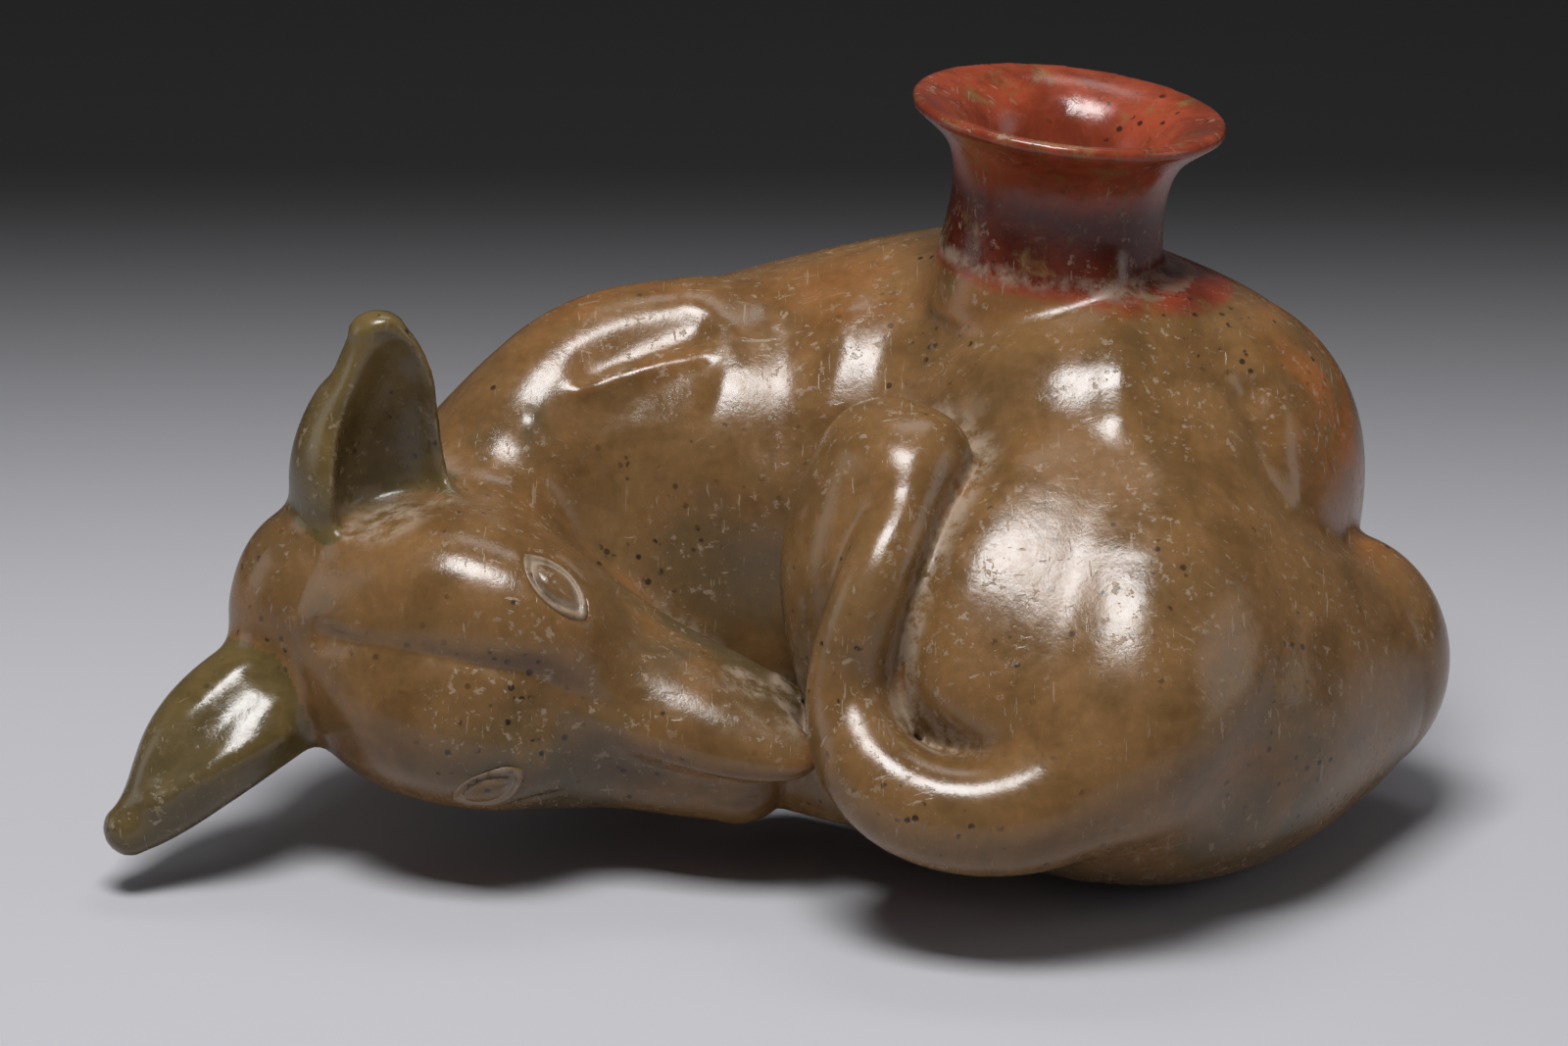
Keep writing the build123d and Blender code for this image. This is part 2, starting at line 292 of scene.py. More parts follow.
SKULL = [
    (-14, 0, -2, 22, 22), (0, 0, 0, 28, 30), (25, 0, 1, 28, 31), (42, 0, -1, 24, 26), (58, 0, -3, 19, 21),
    (72, 0, -4, 17, 18.5), (78, 0, -4, 15.5, 17),
]
EAR = [
    (-86, -8, 67, 18, 15), (-87.5, -10, 83, 18.3, 15), (-85.6, -10.3, 94, 16, 12.5),
    (-84.3, -11, 100, 13.8, 10.5), (-83.9, -11.5, 105.5, 11.5, 9), (-84.3, -12, 111, 9.2, 7),
    (-85, -12.4, 115, 6.6, 5.5),
]
EAR_PRESS = [
    (-81.5, -19, 67, 12.5, 12.5), (-81.8, -18.8, 83, 12, 12.5), (-81.5, -19.4, 94, 11.2, 12),
    (-81.3, -20.2, 100, 10, 11), (-81.6, -20.5, 105.5, 8.2, 9.5), (-82.8, -20.4, 111, 5.6, 7.5),
    (-84.2, -20, 114.5, 3.2, 5),
]
EAR_UP = (0.57, 0.82, 0)
LOP_EAR = [
    (-100, -15, 41, 13.5, 12), (-110, -20, 36, 14.5, 12.5), (-119, -27, 31, 14.5, 11.5),
    (-125, -32, 26, 12.8, 10.5), (-131, -36.5, 19.5, 9.2, 8.2), (-135.5, -39.5, 15.7, 6.6, 6.6),
    (-138, -41, 14.2, 5.6, 5.6),
]
LOP_EAR_UP = (-0.4, -0.75, 0.5)
THIGH_FACING = unit((-0.03, -0.69, 0.72))
MUZZLE_FACING = unit((0.0, -0.66, 0.75))
MUZZLE_TOP, MUZZLE_SINK = np.array((-23.0, -41.0, 43.0)), 4.7
MUZZLE_FLAT = Lump(MUZZLE_TOP - MUZZLE_FACING * MUZZLE_SINK, (32, 11, 7), x=NOSE, z=MUZZLE_FACING)
THIGH_TOP, THIGH_SINK = np.array((63.0, -59.0, 71.0)), 10.4
THIGH_FLAT = Lump(THIGH_TOP - THIGH_FACING * THIGH_SINK, (33, 33, 12), x=(1, 0, 0), z=THIGH_FACING)
REAR_BACK = Lump((84, 18, 78), (39, 38, 36))
FOREHEAD_TURN = math.radians(14)
EYE_TURN = math.radians(43)
EYE_STATION = 34.0
EYE_SEAT = 0.93  # share of the skull's half sizes
EYE_SLANT = {1: math.radians(-24), -1: math.radians(-48)}
EYE_SIZE = (6.5, 3.6, 1.6)
EYE_DISH_DEPTH = 1.3
EYE_DISH_REACH = 8.0
BROW_TURN = math.radians(37)
BROW_STATION = 22.0
BROW_REACH = 21.4
BROW_RADII = (25, 15, 15)


def brow(side):
    """The swelling over one eye."""
    turn = FOREHEAD_TURN + side * BROW_TURN
    centre = on_head(BROW_STATION, BROW_REACH * math.sin(turn), BROW_REACH * math.cos(turn))
    return Lump(centre, BROW_RADII, x=NOSE, z=LEFT)


def eye_seat(side):
    """Middle of one eye, and the way it faces."""
    turn = FOREHEAD_TURN + side * EYE_TURN
    depth, width = HEAD_HALF_DEPTH * EYE_SEAT, HEAD_HALF_WIDTH * EYE_SEAT
    reach = 1 / math.hypot(math.cos(turn) / depth, math.sin(turn) / width)
    spot = np.array(on_head(EYE_STATION, 0, 0)) + (CROWN * math.cos(turn) + LEFT * math.sin(turn)) * reach
    return spot, unit(CROWN * (math.cos(turn) / depth ** 2) + LEFT * (math.sin(turn) / width ** 2))


def rump_softness(P):
    """The rump is luted softly to the haunch in front, and sharply to the trunk at the rear."""
    return 4 + 18 * (1 - ramp(P[:, 1], -24, 2))


def tail_softness(P):
    """The tail swells softly out of the haunch, and its tip sinks softly into the clay."""
    return 4 + 16 * ramp(P[:, 0], 45, 85) + 7 * ramp(P[:, 2], 84, 100)


# Each form: the piece it belongs to, and how softly it is luted to those before it
BODY_FORMS = [
    ("trunk", Limb(TRUNK, cap=0.75), 10),
    ("shoulder_blade", Limb(SHOULDER), 13),
    ("haunch", Limb(HAUNCH), 18),
    ("shin", Limb(SHIN), 16),
    ("haunch", THIGH_FLAT, 15),
    ("trunk", REAR_BACK, 12),
    ("rump", Limb(RUMP), rump_softness),
    ("hock", Limb(HOCK, up=(0, 1, 0)), 4),
    ("tail", Limb(TAIL), tail_softness),
    ("hind_foot", Limb(FOOT), 4),
    ("spout", Turned(SPOUT_BASE, SPOUT_AXIS, SPOUT), 3.5),
]
HEAD_FORMS = [
    ("neck", Limb(NECK), 14),
    ("head", Limb([on_head(*s[:3]) + s[3:] for s in SKULL], up=LEFT, power=2.3, cap_end=0.9), 8),
    ("head", brow(1), 8),
    ("head", brow(-1), 8),
    ("head", MUZZLE_FLAT, 6),
    ("left_ear", Scoop(Limb(EAR, up=EAR_UP, cap_end=0.8), Limb(EAR_PRESS, up=EAR_UP, cap_end=0.6), 4), 5),
    ("right_ear", Limb(LOP_EAR, up=LOP_EAR_UP, cap_end=0.9), 5),
]
CHAMBER = Lump((55, 32, 66), (38, 32, 44))
CHEEK_BESIDE_CHEST = np.array((-70.0, 24.0, 57.0))
CHEEK_REACH = (35, 75)
CHEEK_SOFTNESS = 14.0

# Finger marks: points along each, half width, and how deep it is pressed (a ridge is a negative depth)
STROKES = [
    ([on_head(-9, 2, 25), on_head(15, 8, 28), on_head(36, 11.5, 27)], 2.6, 1.5),  # forehead
    ([(-49, -45, 50), (-37, -42, 43), (-25, -41, 37), (-12, -41, 32)], 2.6, 0.9),
    ([(-44, 15, 93), (-36, 19, 95), (-27, 21, 97), (-18, 21, 99)], 2.4, -1.2),  # shoulder blade
    ([(-41, 19, 98.5), (-31, 23, 101.5), (-20, 26, 104)], 4.5, 1.6),
    ([(-106, -35, 33), (-114, -40, 30), (-123, -43, 26.5), (-132, -44, 22)], 2.8, -1.8),  # lopped ear
    ([(-112, -32, 43), (-118, -36.5, 38.5), (-124, -40, 33.5), (-129, -42.5, 27.5)], 4.5, 2.4),
    ([(-48, 11, 86), (-40, 14, 87), (-30, 16, 89), (-20, 15, 91)], 5.0, 0.6),
    ([(-54, 10, 87), (-51, 10, 84), (-46, 9, 80)], 4.0, -1.3),
    ([(-13, 27, 103), (-12, 18, 97), (-15, 10, 88), (-17, 4, 78)], 5.0, -0.9),  # ribs
    ([(13, 24, 107), (13, 16, 101), (11, 9, 92)], 5.5, -1.3),
    ([(0, 22, 103), (0, 13, 95), (-2, 6, 84)], 5.0, 0.9),
    ([(-34, 2, 72), (-21, -3, 64), (-8, -5, 56)], 16.0, 3.5),  # hollow flank
    ([on_head(*spot) for spot in ((40, -17, 24), (60, -13, 18), (74, -11, 15), (86, -6, 8))], 1.2, 0.8),
    ([(70, 4, 121), (71, -12, 113), (70, -26, 101)], 5.5, -1.4),  # hip
    ([(78, -10, 111), (88, -8, 109), (96, -10, 102)], 6.0, 1.6),
    ([(98, -12, 100), (102, -22, 89), (107, -26, 80), (115, -21, 74), (126, -6, 68)], 4.5, 2.4),  # rump
    ([(58, -55, 75), (63, -57, 73)], 1.2, 0.5),
]


def strokes(P):
    """How far all the pressed marks lower the clay at P."""
    down = np.zeros(len(P))
    for points, width, depth in STROKES:
        points = np.array(points, float)
        d = np.full(len(P), 1e9)
        for a, b in zip(points[:-1], points[1:]):
            run = b - a
            t = np.clip(((P - a) @ run) / (run @ run), 0, 1)
            d = np.minimum(d, ((P - a - t[:, None] * run) ** 2).sum(1))
        down += depth * np.exp(-d / width ** 2)
    return down


def eye_axes(side):
    """An eye's own axes: along its slit, across it and out of the clay."""
    spot, out = eye_seat(side)
    along = unit(NOSE - out * (NOSE @ out))
    along = along * math.cos(EYE_SLANT[side]) + np.cross(out, along) * (side * math.sin(EYE_SLANT[side]))
    return spot, along, np.cross(out, along), out


def eye_dishes(P):
    """How far the clay under the eyes is pressed in at P."""
    down = np.zeros(len(P))
    for side in (1, -1):
        spot, along, across, out = eye_axes(side)
        q = P - spot
        ring = np.hypot(q @ along / EYE_SIZE[0], q @ across / EYE_SIZE[1])
        down += EYE_DISH_DEPTH * (1 - ramp(ring, 1.1, 1.45)) * (np.abs(q @ out) < EYE_DISH_REACH)
    return down


def blended(P, forms):
    """Distance to forms luted one to the next."""
    whole = None
    for _, form, k in forms:
        d = distance(form, P)
        whole = d if whole is None else smooth_min(whole, d, k(P) if callable(k) else k)
    return whole


def outside(P):
    """Distance to the vessel's outer surface, below zero in the clay and the chambers."""
    body, head = blended(P, BODY_FORMS), blended(P, HEAD_FORMS)
    beside = 1 - ramp(np.linalg.norm(P - CHEEK_BESIDE_CHEST, axis=1), *CHEEK_REACH)
    return smooth_min(body, head, 1 + CHEEK_SOFTNESS * beside)


def throat(P):
    """Distance to the straight bore of the spout."""
    q = P - SPOUT_BASE
    z = q @ SPOUT_AXIS
    r = np.linalg.norm(q - z[:, None] * SPOUT_AXIS, axis=1)
    return np.maximum(r - THROAT_RADIUS, np.abs(z - THROAT_MIDDLE) - THROAT_HALF_LENGTH)


def clay(P):
    """Distance to the finished clay surface."""
    d = outside(P) + strokes(P) + eye_dishes(P)
    chamber = np.maximum(distance(CHAMBER, P), WALL - P[:, 2])
    hollow = smooth_min(chamber, throat(P), 2)
    return np.maximum(np.maximum(d, -hollow), -P[:, 2])


# The clay surface

LOW, HIGH = np.array((-152.0, -96.0, -6.0)), np.array((152.0, 110.0, 166.0))  # corners of the grid
CHUNK = 100000  # points measured at a time
SKIN = {}


class Block:
    """Distances kept on a grid of even steps."""

    def __init__(self, values, step):
        self.values, self.step = values, step

    def finer(self, reach):
        """Steps half as wide, measured again wherever the surface is nearer than reach."""
        size = (np.array(self.values.shape) - 1) * 2 + 1
        index = [np.minimum((np.arange(n) + 1) // 2, m - 1) for n, m in zip(size, self.values.shape)]
        fine = self.values[np.ix_(*index)]
        close = np.abs(fine) < reach
        step = self.step / 2
        spots = LOW + np.argwhere(close) * step
        fine[close] = np.concatenate([clay(part) for part in np.array_split(spots, 1 + len(spots) // CHUNK)])
        return Block(fine, step)

    def at(self, P):
        """The distance at P, mixed from the eight grid points round it."""
        q = (P - LOW) / self.step
        low = np.clip(np.floor(q).astype(int), 0, np.array(self.values.shape) - 2)
        x, y, z = (q - low).T
        i, j, k = low.T
        v = self.values
        edge = [v[i, j + a, k + b] * (1 - x) + v[i + 1, j + a, k + b] * x for a in (0, 1) for b in (0, 1)]
        return (edge[0] * (1 - z) + edge[1] * z) * (1 - y) + (edge[2] * (1 - z) + edge[3] * z) * y

    def slope(self, P, e):
        """The kept distance's gradient at P."""
        steps = np.eye(3) * e
        return np.stack([(self.at(P + s) - self.at(P - s)) / (2 * e) for s in steps], 1)


def skin(step):
    """The whole clay surface as one net of quads, with its normals and the piece of each face."""
    if SKIN:
        return SKIN
    rough = step * 4
    n = np.ceil((HIGH - LOW) / rough).astype(int) + 1
    lines = [LOW[i] + rough * np.arange(n[i]) for i in range(3)]
    spots = np.stack(np.meshgrid(*lines, indexing="ij"), -1).reshape(-1, 3)
    first = Block(clay(spots).reshape(n), rough)
    middle = first.finer(step * 8)
    block = middle.finer(step * 3.5)
    grid = openvdb.FloatGrid(float(step * 8))
    grid.copyFromArray(block.values.astype(np.float32))
    points, quads = grid.convertToQuads(0.0)
    V, Q = LOW + np.asarray(points) * step, np.asarray(quads)
    for _ in range(2):
        g = block.slope(V, step * 0.5)
        V = V - (block.at(V) / np.maximum((g ** 2).sum(1), 0.2))[:, None] * g
    N = block.slope(V, step * 0.7)
    N /= np.maximum(np.linalg.norm(N, axis=1, keepdims=True), 1e-9)
    SKIN.update(V=V, Q=Q, N=N, piece=piece_of(V[Q].mean(1)), marks=marks_of(V, N, middle))
    return SKIN


CHAMBER_MARGIN = 1.5
THROAT_MARGIN = 1.0


def piece_of(P):
    """The name of the piece that each point of the surface belongs to."""
    forms = BODY_FORMS + HEAD_FORMS
    owner = np.argmin(np.stack([distance(form, P) for _, form, _ in forms]), 0)
    names = np.array([name for name, _, _ in forms], dtype=object)[owner]
    inside = distance(CHAMBER, P) < CHAMBER_MARGIN
    in_throat = throat(P) < THROAT_MARGIN
    names[inside & ~in_throat] = "trunk"
    names[in_throat] = "spout"
    height = (P - SPOUT_BASE) @ SPOUT_AXIS
    trunk, spout = names == "trunk", names == "spout"
    names[trunk] = np.where(P[trunk, 2] > SEAM, "trunk_upper_half", "trunk_lower_half")
    names[spout] = np.where(height[spout] > COLLAR_HEIGHT, "spout_rim", "spout_collar")
    return names


def near_spots(P, spots):
    """1 at each (x, y, z, reach) spot, falling to 0 at its reach."""
    out = np.zeros(len(P))
    for x, y, z, reach in spots:
        out = np.maximum(out, 1 - ramp(np.linalg.norm(P - (x, y, z), axis=1), 0.2 * reach, reach))
    return out


BLUSH_SPOTS = [(120, 16, 86, 44), (-38, 30, 108, 30), (-84, -12, 112, 22), (10, 30, 112, 30)]
# Smoked patches at the chest, the nose and the back of the upright ear. Painted shade under the muzzle and
# head, and on the flank under the head. The other two spots darken the lopped ear's tip and the low front of
# the rump.
SMOKE_AND_SHADE_SPOTS = [
    (-58, 12, 86, 15), (-4, -39, 36, 9), (-95, -2, 80, 34), (-50, -48, 20, 40), (-128, -34, 20, 24),
    (96, -60, 30, 40), (-10, -20, 60, 45),
]
SOIL_SPOTS = [
    (-84, -22, 80, 17), (-82, -20, 73, 17), (-72, -16, 74, 10), (0, -40, 34, 11), (-8, -34, 45, 10),
    (24, -50, 42, 13),
]
PROBE = 5.0  # how far off the surface creases and edges are felt for
SLIP_RADIUS = 40.0
NECK_RADII = (20, 29)
SEAT_RADIUS, SEAT_HEIGHT, SEAT_WIDTH = 32.0, -4.0, 3.0


def marks_of(V, N, block):
    """Where soil lies, edges are rubbed, the fire has reddened or smoked the clay, and shade is painted under
    the muzzle and on the flank under the head.
    """
    crevice = np.clip(1 - block.at(V + N * PROBE) / PROBE, 0, 1)
    ridge = np.clip(1 + block.at(V - N * PROBE) / PROBE, 0, 1)
    height = (V - SPOUT_BASE) @ SPOUT_AXIS
    radius = np.linalg.norm(V - SPOUT_BASE - height[:, None] * SPOUT_AXIS, axis=1)
    slip = (radius < SLIP_RADIUS) * ramp(height, -8.5, -5.5)
    on_neck = (radius > NECK_RADII[0]) * (radius < NECK_RADII[1])
    neck = on_neck * ramp(height, -7, -3) * (1 - ramp(height, 9, 15))
    seat = (radius < SEAT_RADIUS) * np.exp(-((height - SEAT_HEIGHT) / SEAT_WIDTH) ** 2)
    soil = np.maximum(seat * 0.62, near_spots(V, SOIL_SPOTS) * 0.8)
    return {
        "crevice": np.maximum(crevice, soil),
        "ridge": ridge,
        "slip": slip,
        "blush": near_spots(V, BLUSH_SPOTS) * (0.25 + 0.75 * ramp(V[:, 0], 50, 90)),
        # The smoke mark holds the smoked patches and the smoked spout neck, and also painted shade under the
        # muzzle and on the flank under the head.
        "smoke": np.maximum(near_spots(V, SMOKE_AND_SHADE_SPOTS), neck),
    }


def clay_piece(node, material, step):
    """One piece of the clay surface, in place of its CAD node."""
    whole = skin(step)
    mine = whole["Q"][whole["piece"] == node]
    if not len(mine):
        raise RuntimeError("no surface for " + node)
    used, quads = np.unique(mine, return_inverse=True)
    quads = quads.reshape(-1, 4)
    mesh = bpy.data.meshes.new(node + "_clay")
    mesh.vertices.add(len(used))
    mesh.vertices.foreach_set("co", ((whole["V"][used] + HOME) * MM).astype(np.float32).ravel())
    mesh.loops.add(quads.size)
    mesh.loops.foreach_set("vertex_index", quads.astype(np.int32).ravel())
    mesh.polygons.add(len(quads))
    mesh.polygons.foreach_set("loop_start", (np.arange(len(quads)) * 4).astype(np.int32))
    mesh.update(calc_edges=True)
    for name, values in whole["marks"].items():
        mesh.attributes.new(name, "FLOAT", "POINT").data.foreach_set("value", values[used].astype(np.float32))
    mesh.polygons.foreach_set("use_smooth", np.ones(len(quads), bool))
    mesh.normals_split_custom_set_from_vertices(whole["N"][used].astype(np.float32))
    mesh.materials.append(material)
    piece = bpy.data.objects.new(node + "_clay", mesh)
    bpy.context.scene.collection.objects.link(piece)
    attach(piece, BODY)
    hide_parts(node)
    return piece


EYE_AROUND, EYE_RINGS = 72, 31
EYE_EDGE = 1.5  # of the eye's own size, where its patch dips under the clay round it
LAYING_ROUNDS = 12


def eye_piece(node, side, material):
    """An almond of clay in its incised ring, in place of its CAD node."""
    spot, along, across, out = eye_axes(side)
    around, rings = EYE_AROUND, np.linspace(0, EYE_EDGE, EYE_RINGS)
    turn = np.linspace(0, 2 * math.pi, around, endpoint=False)
    ring = np.repeat(rings, around)
    u = EYE_SIZE[0] * ring * np.tile(np.cos(turn), len(rings))
    v = EYE_SIZE[1] * ring * np.tile(np.sin(turn) * np.abs(np.sin(turn)) ** 0.5, len(rings))
    P = spot + out * 4 + u[:, None] * along + v[:, None] * across
    for _ in range(LAYING_ROUNDS):
        P = P - out * (outside(P) * 0.9)[:, None]
    groove = np.exp(-((ring - 1.02) / 0.17) ** 2)
    lid = np.exp(-((ring - 1.24) / 0.13) ** 2)
    height = EYE_SIZE[2] * 0.7 * np.clip(1 - ring ** 2, 0, 1) - 0.7 * groove + 0.2 * lid
    height -= ramp(ring, 1.36, EYE_EDGE)
    P = (P + out * height[:, None] + HOME) * MM
    pairs = [(j, (j + 1) % around) for j in range(around)]
    starts = [i * around for i in range(len(rings) - 1)]
    faces = [(i + a, i + around + a, i + around + b, i + b) for i in starts for a, b in pairs]
    mesh = bpy.data.meshes.new(node + "_clay")
    mesh.from_pydata([tuple(p) for p in P], [], faces)
    plain = np.zeros(len(P))
    marks = {
        "crevice": 0.36 + 0.64 * np.maximum(groove, lid * 0.5),
        "ridge": plain,
        "slip": np.minimum(1.6 * groove, 1),
        "blush": groove,
        "smoke": plain + 0.3,
    }
    for name, values in marks.items():
        mesh.attributes.new(name, "FLOAT", "POINT").data.foreach_set("value", values.astype(np.float32))
    mesh.polygons.foreach_set("use_smooth", [True] * len(faces))
    mesh.materials.append(material)
    piece = bpy.data.objects.new(node + "_clay", mesh)
    bpy.context.scene.collection.objects.link(piece)
    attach(piece, BODY)
    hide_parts(node)
    return piece


# Materials

def socket(group, name, kind, default=None, out=False):
    """One named input or output of a node group."""
    way = "OUTPUT" if out else "INPUT"
    s = group.interface.new_socket(name=name, in_out=way, socket_type="NodeSocket" + kind)
    if default is not None:
        s.default_value = default
    return s


class Maker:
    """Short ways to add and join nodes in one tree."""

    def __init__(self, tree):
        self.tree = tree

    def node(self, kind, values=(), **settings):
        n = self.tree.nodes.new(kind)
        for key, value in settings.items():
            setattr(n, key, value)
        for key, value in dict(values).items():
            self.put(value, n.inputs[key])
        return n

    def put(self, value, target):
        """A link if value is a socket, else the socket's own value."""
        if isinstance(value, bpy.types.NodeSocket):
            self.tree.links.new(value, target)
        else:
            target.default_value = value

    def math(self, operation, a, b=0.0, clamp=False):
        return self.node("ShaderNodeMath", {0: a, 1: b}, operation=operation, use_clamp=clamp).outputs[0]

    def times(self, a, b):
        return self.math("MULTIPLY", a, b)

    def band(self, value, low, high, to_low=0.0, to_high=1.0):
        """value from low to high, eased to to_low and to_high."""
        values = {"Value": value, "From Min": low, "From Max": high, "To Min": to_low, "To Max": to_high}
        return self.node("ShaderNodeMapRange", values, interpolation_type="SMOOTHSTEP").outputs["Result"]

    def noise(self, vector, scale, detail=4.0, rough=0.55, bend=0.0):
        values = {"Vector": vector, "Scale": scale, "Detail": detail, "Roughness": rough, "Distortion": bend}
        return self.node("ShaderNodeTexNoise", values).outputs["Fac"]

    def stretch(self, vector, scale, turn):
        return self.node("ShaderNodeMapping", {"Vector": vector, "Scale": scale, "Rotation": turn}).outputs[0]

    def mix(self, share, a, b, blend="MIX"):
        n = self.node("ShaderNodeMix", data_type="RGBA", blend_type=blend)
        self.put(share, n.inputs[0])
        self.put(a, n.inputs[6])
        self.put(b, n.inputs[7])
        return n.outputs[2]


def clay_sockets(group, look):
    """The named inputs and outputs of the shared clay."""
    socket(group, "Vector", "Vector")
    for name, value in (
        ("Clay", look.clay), ("Dark Clay", look.dark_clay), ("Blush Clay", look.blush),
        ("Smoke Clay", look.smoke), ("Soil", look.soil), ("Speck", look.speck), ("Slip", look.slip),
    ):
        socket(group, name, "Color", (*value, 1))
    for name in ("Crevice", "Ridge", "Blush Share", "Smoke Share", "Slip Share"):
        socket(group, name, "Float", 0.0)
    for name, kind in (("Color", "Color"), ("Roughness", "Float"), ("Height", "Float")):
        socket(group, name, kind, out=True)


def fired(m, given, mottle, grain):
    """Mottled clay that the fire has reddened and smoked, paler where hands have rubbed it, with painted
    shade under the muzzle and on the flank under the head.
    """
    vector = given["Vector"]
    color = m.mix(m.band(mottle, 0.34, 0.60), given["Dark Clay"], given["Clay"])
    broad = m.noise(vector, 22, 5, 0.6, 0.3)
    color = m.mix(m.times(m.band(broad, 0.48, 0.70), 0.22), color, given["Smoke Clay"])
    warm = m.times(given["Blush Share"], m.band(m.noise(vector, 45, 5, 0.6, 0.6), 0.35, 0.62))
    color = m.mix(warm, color, given["Blush Clay"])
    # Smoke Share darkens towards Smoke Clay. It holds the smoked patches and spout neck, and also painted
    # shade under the muzzle and on the flank under the head.
    smoked = m.times(given["Smoke Share"], m.band(m.noise(vector, 38, 5, 0.6, 0.6), 0.36, 0.6))
    color = m.mix(m.times(smoked, 0.85), color, given["Smoke Clay"])
    pale = m.mix(1.0, color, (1.5, 1.42, 1.3, 1), "MULTIPLY")
    color = m.mix(m.band(grain, 0.3, 0.75, 0.0, 0.35), color, pale)
    rubbed = m.times(m.band(given["Ridge"], 0.05, 0.5), m.band(mottle, 0.4, 0.6))
    return m.mix(m.times(rubbed, 0.25), color, given["Blush Clay"])


def slipped(m, given, mottle, color):
    """The colour with the red slip over it, worn through in places and dusky where it was smoked."""
    worn = m.times(given["Slip Share"], m.band(m.noise(given["Vector"], 140, 6, 0.65, 0.4), 0.3, 0.48))
    deep = m.mix(1.0, given["Slip"], (0.5, 0.45, 0.42, 1), "MULTIPLY")
    slip = m.mix(m.band(mottle, 0.35, 0.65), deep, given["Slip"])
    dusk = m.mix(1.0, slip, (0.28, 0.22, 0.17, 1), "MULTIPLY")
    return m.mix(worn, color, m.mix(m.times(given["Smoke Share"], 0.85), slip, dusk))


def scratches(m, vector):
    """Fine scratches that run two ways, in patches."""
    one = m.noise(m.stretch(vector, (900, 60, 160), (0.2, 0.5, 0.9)), 1, 3, 0.6)
    other = m.noise(m.stretch(vector, (110, 950, 200), (0.7, 0.2, 0.3)), 1, 3, 0.6)
    both = m.math("MAXIMUM", m.band(one, 0.65, 0.70), m.band(other, 0.66, 0.71))
    return m.times(both, m.band(m.noise(vector, 30, 3), 0.42, 0.56))


def specks(m, vector):
    """Dark mineral specks, here and there."""
    cell = m.node("ShaderNodeTexVoronoi", {"Vector": vector, "Scale": 330.0, "Randomness": 1.0})
    where = m.band(m.noise(vector, 26, 3, 0.6), 0.45, 0.62)
    black = m.times(m.band(cell.outputs["Distance"], 0.30, 0.18), where)
    return m.times(black, m.band(m.noise(vector, 260, 2), 0.5, 0.6))


def soil_cover(m, given):
    """Soil left in the creases, and flecks of it elsewhere."""
    vector = given["Vector"]
    soil = m.times(m.band(given["Crevice"], 0.25, 0.75), m.band(m.noise(vector, 190, 7, 0.7), 0.38, 0.6))
    where = m.band(m.noise(vector, 33, 4, 0.6), 0.42, 0.6)
    flecks = m.times(m.band(m.noise(vector, 430, 5, 0.7), 0.58, 0.64), where)
    return m.math("MAXIMUM", soil, m.times(flecks, 0.7), True)


def clay_group(look):
    """The shared burnished clay: its colour, roughness and fine relief."""
    group = bpy.data.node_groups.new("Burnished Clay", "ShaderNodeTree")
    clay_sockets(group, look)
    m = Maker(group)
    given = group.nodes.new("NodeGroupInput").outputs
    vector = given["Vector"]
    mottle = m.noise(vector, 60, 8, 0.62, 0.35)
    grain = m.noise(vector, 420, 4, 0.6)
    fine = m.noise(vector, 1500, 3, 0.6)
    scratch, soil = scratches(m, vector), soil_cover(m, given)
    color = slipped(m, given, mottle, fired(m, given, mottle, grain))
    color = m.mix(m.times(scratch, 0.6), color, given["Soil"])
    color = m.mix(m.times(specks(m, vector), 0.85), color, given["Speck"])
    color = m.mix(m.times(soil, 0.8), color, given["Soil"])
    rough = m.math("ADD", m.band(mottle, 0.3, 0.7, 0.15, 0.25), m.times(m.band(grain, 0.35, 0.7), 0.06))
    rough = m.math("ADD", rough, m.times(soil, 0.4))
    rough = m.math("ADD", rough, m.times(scratch, 0.15), True)
    height = m.math("ADD", m.times(grain, 0.16), m.times(fine, 0.04))
    height = m.math("ADD", height, m.times(mottle, 0.35))
    height = m.math("SUBTRACT", height, m.times(scratch, 0.12))
    height = m.math("ADD", height, m.times(soil, 0.12))
    out = group.nodes.new("NodeGroupOutput")
    for value, name in ((color, "Color"), (rough, "Roughness"), (height, "Height")):
        m.put(value, out.inputs[name])
    return group


def clay_material(name, group, **tones):
    """A material that draws on the shared clay."""
    material = bpy.data.materials.new(name)
    material.use_nodes = True
    tree = material.node_tree
    m = Maker(tree)
    shader = tree.nodes["Principled BSDF"]
    use = tree.nodes.new("ShaderNodeGroup")
    use.node_tree = group
    m.put(m.node("ShaderNodeTexCoord").outputs["Object"], use.inputs["Vector"])
    for label, mark in (
        ("Crevice", "crevice"), ("Ridge", "ridge"), ("Blush Share", "blush"), ("Smoke Share", "smoke"),
        ("Slip Share", "slip"),
    ):
        m.put(m.node("ShaderNodeAttribute", attribute_name=mark).outputs["Fac"], use.inputs[label])
    for label, value in tones.items():
        use.inputs[label.replace("_", " ")].default_value = (*value, 1)
    m.put(use.outputs["Color"], shader.inputs["Base Color"])
    m.put(use.outputs["Roughness"], shader.inputs["Roughness"])
    bump = m.node("ShaderNodeBump", {"Height": use.outputs["Height"], "Strength": 0.45, "Distance": 0.0009})
    m.put(bump.outputs["Normal"], shader.inputs["Normal"])
    return material


def plain_material(name, color, roughness):
    material = bpy.data.materials.new(name)
    material.use_nodes = True
    shader = material.node_tree.nodes["Principled BSDF"]
    shader.inputs["Base Color"].default_value = (*color, 1)
    shader.inputs["Roughness"].default_value = roughness
    return material


FLOOR_PAINTED_FALLOFF = (0.03, 0.52)  # metres to the rear, over which painted shade takes the floor from full colour to near black
# Share of the floor colour left at the rear, under the painted shade
FLOOR_PAINTED_SHADE = 0.016


